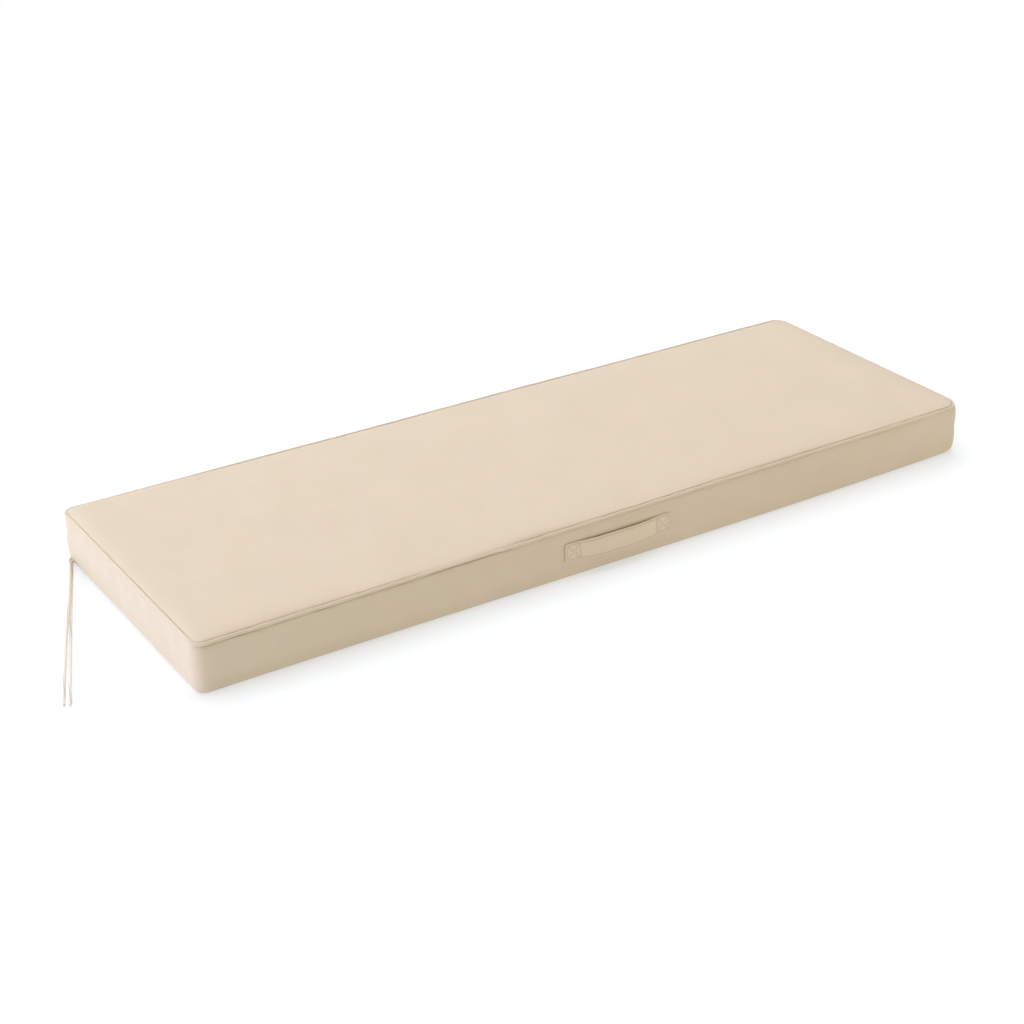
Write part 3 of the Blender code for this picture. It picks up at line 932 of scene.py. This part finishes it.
# a round cord in its cloth along the seam line, with slight lumps
def makePiping(values=piping):
    form = coverForm(cover["spacing"])
    path = besideSeam(form, values["proud"], form["height"])
    around = onceRound(values["sides"])
    lumps = values["lumps"]*softNoise(form["seamX"], form["seamY"], *values["lumpWaves"])
    thick = values["radius"] + (lumps - values["pinch"]*overhanging(form))[:, None] + 0*around
    faces, cloth = tubeSkin(form["run"], 2*pi*values["radius"], values["sides"], closed=True)
    points = carried(path, thick*np.cos(around), thick*np.sin(around), closed=True)
    makePiece("welt", points, faces, cloth, 0*thick, materials["welt"], "piping")


makePiping()
print("piping made")


# how far a place along the strap is lifted off the boxing, from 0 in the sewn squares to 1 in the middle
def strapBow(place, values=strap):
    free = values["length"]/2 - values["patch"]
    return np.maximum(0, 1 - abs(place/(free + values["pull"]))**values["bowPower"])


# a point of the strap: place along it, share of its width, and share of its thickness outwards
def strapPoint(place, share, through, thick, values=strap):
    bow = strapBow(place)
    x = values["middleX"] + place + 0*share
    z = values["middleZ"] + (share - 0.5)*values["width"]
    reach = boxingReach(z/seamHeight(x, -halfDepth), x, -halfDepth + 0*x, 0*x, -1 + 0*x)
    reach = reach + bow*(values["bowLow"] + share*(values["bowHigh"] - values["bowLow"]))
    reach = reach + bow*values["buckle"]*softNoise(place, share*values["width"], *values["buckleWaves"])
    reach = reach + values["seat"] + thick/2 + (through - 0.5)*thick
    return np.stack([x, -halfDepth - reach + cover["shiftY"], z - bow*values["droop"]], -1)


sewing = dict(
    stitch=2.7*mm,
    gap=0.9*mm,
    threadRadius=0.24*mm,
    arch=0.30*mm,           # a stitch stands up in its middle and goes down into the cloth at its ends
    sink=0.22*mm,
    rows=6,
    sides=6,
    boxInset=3.0*mm,        # of the crossed square inside the strap's end and its edges
    boxInner=1.2*mm,        # its inner side lies this far past the fold
    edgeInset=2.6*mm,
    channel=0.45*mm,        # how deep the cloth is drawn in along a line of stitches
    channelWidth=1.1*mm,
    # painted shade in those channels
    channelShade=0.5,
    taper=0.06,             # of a stitch's ends, as a share of its length
)


# lines of stitches on the strap, from (place, width) to (place, width): a crossed square at each end,
# and one line along each edge between them
def stitchLines(values=sewing):
    half = strap["length"]/2
    edge = strap["width"]/2 - values["boxInset"]
    outer = half - values["boxInset"]
    inner = half - strap["patch"] + values["boxInner"]
    rail = strap["width"]/2 - values["edgeInset"]
    lines = []
    for side in (-1, 1):
        corners = [(side*outer, -edge), (side*outer, edge), (side*inner, edge), (side*inner, -edge)]
        lines += [(corners[index], corners[(index + 1) % 4]) for index in range(4)]
        lines += [(corners[0], corners[2]), (corners[1], corners[3])]
    lines += [((-inner, level), (inner, level)) for level in (-rail, rail)]
    return np.array(lines)


# depth of the channels that the stitches draw into the strap: a bell over the distance to the nearest line
def sewnDepth(place, width, values=sewing):
    deepest = 0.0
    for begin, end in stitchLines():
        step = end - begin
        t = ((place - begin[0])*step[0] + (width - begin[1])*step[1])/(step @ step)
        t = np.clip(t, 0, 1)
        away = np.hypot(place - begin[0] - t*step[0], width - begin[1] - t*step[1])
        deepest = np.maximum(deepest, np.exp(-(away/values["channelWidth"])**2))
    return values["channel"]*deepest


# a flat section with round edges carried along the boxing; it bows off it between the two sewn squares
def makeStrap(values=strap):
    half = values["length"]/2
    free = half - values["patch"]
    place = np.linspace(-half, half, round(values["length"]/values["spacing"]) + 1)[:, None]
    around = onceRound(values["sides"])
    # a rounded oblong: cosine and sine raised to small powers; its width shrinks at the strap's round corners
    level = np.sign(np.cos(around))*abs(np.cos(around))**values["flatness"][0]
    through = -np.sign(np.sin(around))*abs(np.sin(around))**values["flatness"][1]
    past = np.maximum(abs(place) - half + values["cornerRound"], 0)
    narrowed = values["cornerRound"] - np.sqrt(np.maximum(values["cornerRound"]**2 - past**2, 0))
    share = 0.5 + level*(0.5 - narrowed/values["width"])
    folded = 1/(1 + np.exp(-(abs(place) - free)/values["foldStep"]))
    thick = values["thickness"] + (values["endThickness"] - values["thickness"])*folded
    ending = np.clip((abs(place) - half + thick/2)/(thick/2), 0, 1)
    closing = np.sqrt(np.maximum(1 - ending**2, values["tip"]))
    outer = 0.5 + through/2*closing
    depth = sewnDepth(place, (share - 0.5)*values["width"])
    outer = outer - np.where(through > 0, depth/thick*np.minimum(outer, 1), 0)
    points = strapPoint(place, share, outer, thick)
    faces, cloth = tubeSkin(place[:, 0], 2*values["width"], values["sides"])
    # painted shade along the stitch channels
    paintedShade = np.where(through > 0, depth/sewing["channel"], 0)*sewing["channelShade"]
    makePiece("carrying_strap", points, faces, cloth, paintedShade, materials["strap"], "handle")


# each stitch is a short tube, arched by a sine and thinner at its ends, and all of them are one mesh
def makeStitches(values=sewing):
    begins, ends = [], []
    for begin, end in stitchLines():
        count = max(2, round(float(np.linalg.norm(end - begin))/(values["stitch"] + values["gap"])))
        cuts = np.arange(count)[:, None]/count
        begins.append(begin + (end - begin)*cuts)
        ends.append(begin + (end - begin)*(cuts + values["stitch"]/(values["stitch"] + values["gap"])/count))
    begins, ends = np.concatenate(begins), np.concatenate(ends)
    t = np.linspace(0, 1, values["rows"])[None, :, None]
    flat = begins[:, None] + (ends - begins)[:, None]*t
    place, share = flat[..., 0], 0.5 + flat[..., 1]/strap["width"]
    free = strap["length"]/2 - strap["patch"]
    thick = np.where(abs(place) > free, strap["endThickness"], strap["thickness"])
    depth = sewnDepth(place, flat[..., 1])
    path = strapPoint(place, share, 1 - depth/thick, thick)
    path[..., 1] -= (values["arch"]*np.sin(pi*t[..., 0]) - values["sink"])
    outwards = np.array([0.0, -1.0, 0.0])
    across = unit(np.cross(unit(path[:, -1:] - path[:, :1]), outwards))
    around = onceRound(values["sides"]).T
    inside = values["taper"] + (1 - 2*values["taper"])*t
    size = values["threadRadius"]*np.sqrt(np.sin(pi*inside))[..., None]
    points = path[:, :, None] + size*(across[:, :, None]*np.cos(around) + outwards*np.sin(around))
    rows, sides, many = values["rows"], values["sides"], len(begins)
    tube, onTube = tubeSkin(np.linspace(0, values["stitch"], rows), 2*pi, sides)
    shift = (np.arange(many)*rows*sides)[:, None, None]
    faces = (np.array(tube[:-2]) + shift).reshape(-1, 4).tolist()
    faces += (np.array(tube[-2:]) + shift).reshape(-1, sides).tolist()
    cloth = np.concatenate([np.tile(part, (many, 1)) for part in (onTube[:-2*sides], onTube[-2*sides:])])
    paintedShade = np.zeros(many*rows*sides)
    makePiece("strap_stitches", points, faces, cloth, paintedShade, materials["thread"], None)
    print("stitches:", many)


makeStrap()
makeStitches()
print("strap made")

studio = dict(
    floorSize=16.0,
    floorDrop=0.3*mm,
    floorShade=(0.585, 0.62, 0.675),
    floorRoughness=0.9,
    floorGlow=0.44,         # the floor is a lit table, so shadows on it stay pale
    tableEnd=1.3,           # from the middle of the cushion
    whiteFrom=2.4,
    background=(1.0, 1.0, 1.0),
    fill=(0.238, 0.198, 0.085),
    lights=dict(            # place, aim, size, watts, colour
        overhead=((0.5, 2.0, 4.6), (0.4, 0.7, 0), (9.0, 7.0), 424, (0.88, 0.90, 1.0)),
        left=((-3.6, 0.3, 0.75), (0, 0, 0.05), (3.0, 1.3), 72, (0.77, 0.805, 0.96)),
        front=((2.4, -3.8, 0.55), (0.2, 0, 0.05), (4.0, 0.9), 40, (1.0, 0.87, 0.64)),
    ),
)


# a lit table round the cushion; with the distance from the middle it goes over into the background's white
def addFloor(values=studio):
    half, drop = values["floorSize"]/2, -values["floorDrop"]
    mesh = bpy.data.meshes.new("floor")
    corners = [(-half, -half, drop), (half, -half, drop), (half, half, drop), (-half, half, drop)]
    mesh.from_pydata(corners, [], [(0, 1, 2, 3)])
    material, shader, start = newMaterial("floor")
    start.feed(shader, {
        "Base Color": (*values["floorShade"], 1),
        "Roughness": values["floorRoughness"],
        "Specular IOR Level": 0.0,
        "Emission Color": (1, 1, 1, 1),
        "Emission Strength": values["floorGlow"],
    })
    table = Wire(start.tree, shader.outputs[0])
    place = start.node("ShaderNodeTexCoord", output=3)
    away = start.node("ShaderNodeVectorMath", dict(operation="LENGTH"), {0: place}, 1)
    ends = {"Value": away, "From Min": values["tableEnd"], "From Max": values["whiteFrom"]}
    faded = start.node("ShaderNodeMapRange", dict(interpolation_type="SMOOTHSTEP"), ends)
    white = start.node("ShaderNodeEmission", {}, {"Color": (*values["background"], 1)})
    surface = start.node("ShaderNodeMixShader", {}, {0: faded, 1: table, 2: white})
    start.feed(start.tree.nodes["Material Output"], {"Surface": surface})
    mesh.materials.append(material)
    item = addObject("floor", mesh)


def addLight(name, place, aim, size, watts, colour):
    data = bpy.data.lights.new(name, "AREA")
    data.shape = "RECTANGLE"
    data.size, data.size_y = size
    data.energy = watts
    data.color = colour
    item = addObject(name, data)
    item.location = place
    item.rotation_euler = (Vector(aim) - Vector(place)).to_track_quat("-Z", "Y").to_euler()
    item.visible_camera = False


# a white background for the camera, and a weak even fill for everything else
def addWorld(values=studio):
    world = bpy.data.worlds.new("studio")
    world.use_nodes = True
    tree = world.node_tree
    seen = Wire(tree).node("ShaderNodeLightPath")
    colours = {0: seen, 6: (*values["fill"], 1), 7: (*values["background"], 1)}
    shown = seen.node("ShaderNodeMix", dict(data_type="RGBA"), colours, 2)
    seen.feed(tree.nodes["Background"], {"Color": shown})
    bpy.context.scene.world = world


addFloor()
addWorld()
for name, values in studio["lights"].items():
    addLight(name, *values)
bpy.context.scene.view_settings.view_transform = "Standard"
print("studio set")
